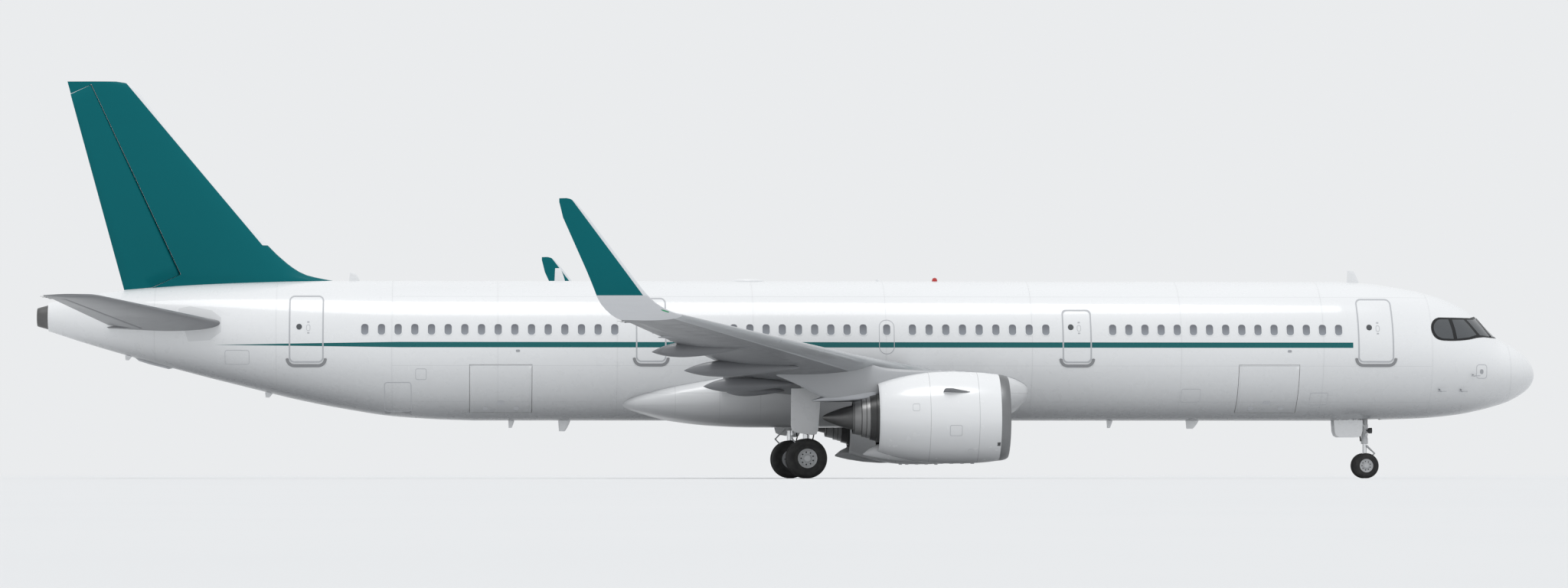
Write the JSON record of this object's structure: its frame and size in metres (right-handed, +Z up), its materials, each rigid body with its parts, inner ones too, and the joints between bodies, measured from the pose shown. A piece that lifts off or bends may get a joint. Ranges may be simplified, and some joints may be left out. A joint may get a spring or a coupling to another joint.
{
  "type": "airliner, 1:2 scale model",
  "caption": "Long single-aisle twin-engine jet airliner on its landing gear, half size, with turning wheels and fans, steered nose gear, control surfaces and hinged cargo doors.",
  "frame": {"origin": "on the ground under the middle of the aircraft's box", "axes": "+X towards the nose, +Y to port, +Z up"},
  "size_m": [22.255, 17.9106, 5.88],
  "materials": {
    "white_paint": "gloss",
    "grey_paint": "satin",
    "teal_paint": "gloss",
    "gear_paint": "gloss",
    "bare_aluminium": "polished",
    "exhaust_metal": "heat-darkened",
    "fan_metal": "satin",
    "cockpit_glass": "dark gloss",
    "tyre": "matt"
  },
  "bodies": {
    "airframe": {"nose_radome": "white_paint", "nose_fuselage": "white_paint", "forward_fuselage": "white_paint", "centre_fuselage": "white_paint", "rear_fuselage": "white_paint", "tail_cone": "white_paint", "apu_exhaust": "exhaust_metal", "cockpit_glazing": "cockpit_glass", "belly_fairing": "white_paint", "fin": "teal_paint", "nose_leg": "gear_paint", "wing_L": "grey_paint", "slat_L": "bare_aluminium", "inboard_flap_L": "grey_paint", "outboard_flap_L": "grey_paint", "sharklet_L": "teal_paint", "tailplane_L": "grey_paint", "pylon_L": "white_paint", "inlet_lip_L": "bare_aluminium", "nacelle_cowl_L": "white_paint", "engine_core_L": "exhaust_metal", "exhaust_plug_L": "exhaust_metal", "main_leg_L": "gear_paint", "main_leg_door_L": "white_paint", "nose_gear_door_L": "white_paint", "wing_R": "grey_paint", "slat_R": "bare_aluminium", "inboard_flap_R": "grey_paint", "outboard_flap_R": "grey_paint", "sharklet_R": "teal_paint", "tailplane_R": "grey_paint", "pylon_R": "white_paint", "inlet_lip_R": "bare_aluminium", "nacelle_cowl_R": "white_paint", "engine_core_R": "exhaust_metal", "exhaust_plug_R": "exhaust_metal", "main_leg_R": "gear_paint", "main_leg_door_R": "white_paint", "nose_gear_door_R": "white_paint"},
    "rudder": {"rudder": "teal_paint"},
    "forward_cargo_door": {"forward_cargo_door": "white_paint"},
    "aft_cargo_door": {"aft_cargo_door": "white_paint"},
    "nose_steering": {"nose_piston": "bare_aluminium"},
    "nose_wheels": {"nose_wheel_rims": "bare_aluminium", "nose_wheel_tyre_a": "tyre", "nose_wheel_tyre_b": "tyre"},
    "elevator_L": {"elevator_L": "grey_paint"},
    "aileron_L": {"aileron_L": "grey_paint"},
    "fan_L": {"fan_L": "fan_metal"},
    "main_wheels_L": {"main_wheel_L_rims": "bare_aluminium", "main_wheel_L_tyre_a": "tyre", "main_wheel_L_tyre_b": "tyre"},
    "elevator_R": {"elevator_R": "grey_paint"},
    "aileron_R": {"aileron_R": "grey_paint"},
    "fan_R": {"fan_R": "fan_metal"},
    "main_wheels_R": {"main_wheel_R_rims": "bare_aluminium", "main_wheel_R_tyre_a": "tyre", "main_wheel_R_tyre_b": "tyre"}
  },
  "joints": [
    {"name": "rudder_hinge", "type": "hinge", "parent": "airframe", "child": "rudder", "pos_m": [-9.0775, 0, 2.99], "axis": [-0.4161, 0, 0.9093], "range_deg": [-25, 25]},
    {"name": "elevator_L_hinge", "type": "hinge", "parent": "airframe", "child": "elevator_L", "pos_m": [-9.59242, 0.66, 2.25471], "axis": [-0.3697, 0.9201, 0.1294], "range_deg": [-17, 30]},
    {"name": "aileron_L_hinge", "type": "hinge", "parent": "airframe", "child": "aileron_L", "pos_m": [-1.85448, 6.525, 1.94103], "axis": [-0.3622, 0.9271, 0.0965], "range_deg": [-25, 25]},
    {"name": "elevator_R_hinge", "type": "hinge", "parent": "airframe", "child": "elevator_R", "pos_m": [-9.59242, -0.66, 2.25471], "axis": [0.3697, 0.9201, -0.1294], "range_deg": [-17, 30]},
    {"name": "aileron_R_hinge", "type": "hinge", "parent": "airframe", "child": "aileron_R", "pos_m": [-1.85448, -6.525, 1.94103], "axis": [0.3622, 0.9271, -0.0965], "range_deg": [-25, 25]},
    {"name": "forward_cargo_door_hinge", "type": "hinge", "parent": "airframe", "child": "forward_cargo_door", "pos_m": [7.4725, -0.94952, 1.65284], "axis": [-1, 0, 0], "range_deg": [0, 110]},
    {"name": "aft_cargo_door_hinge", "type": "hinge", "parent": "airframe", "child": "aft_cargo_door", "pos_m": [-3.8225, -0.94952, 1.65284], "axis": [-1, 0, 0], "range_deg": [0, 110]},
    {"name": "nose_gear_steering", "type": "hinge", "parent": "airframe", "child": "nose_steering", "pos_m": [8.5925, 0, 0.18766], "axis": [0, 0, 1], "range_deg": [-75, 75]},
    {"name": "nose_wheels_spin", "type": "hinge", "parent": "nose_steering", "child": "nose_wheels", "pos_m": [8.5925, 0, 0.18766], "axis": [0, 1, 0], "continuous": true},
    {"name": "main_wheels_L_spin", "type": "hinge", "parent": "airframe", "child": "main_wheels_L", "pos_m": [0.1375, 1.8975, 0.2889], "axis": [0, 1, 0], "continuous": true},
    {"name": "fan_L_spin", "type": "hinge", "parent": "airframe", "child": "fan_L", "pos_m": [2.4725, 2.875, 0.87], "axis": [1, 0, 0], "continuous": true},
    {"name": "main_wheels_R_spin", "type": "hinge", "parent": "airframe", "child": "main_wheels_R", "pos_m": [0.1375, -1.8975, 0.2889], "axis": [0, 1, 0], "continuous": true},
    {"name": "fan_R_spin", "type": "hinge", "parent": "airframe", "child": "fan_R", "pos_m": [2.4725, -2.875, 0.87], "axis": [1, 0, 0], "continuous": true}
  ]
}
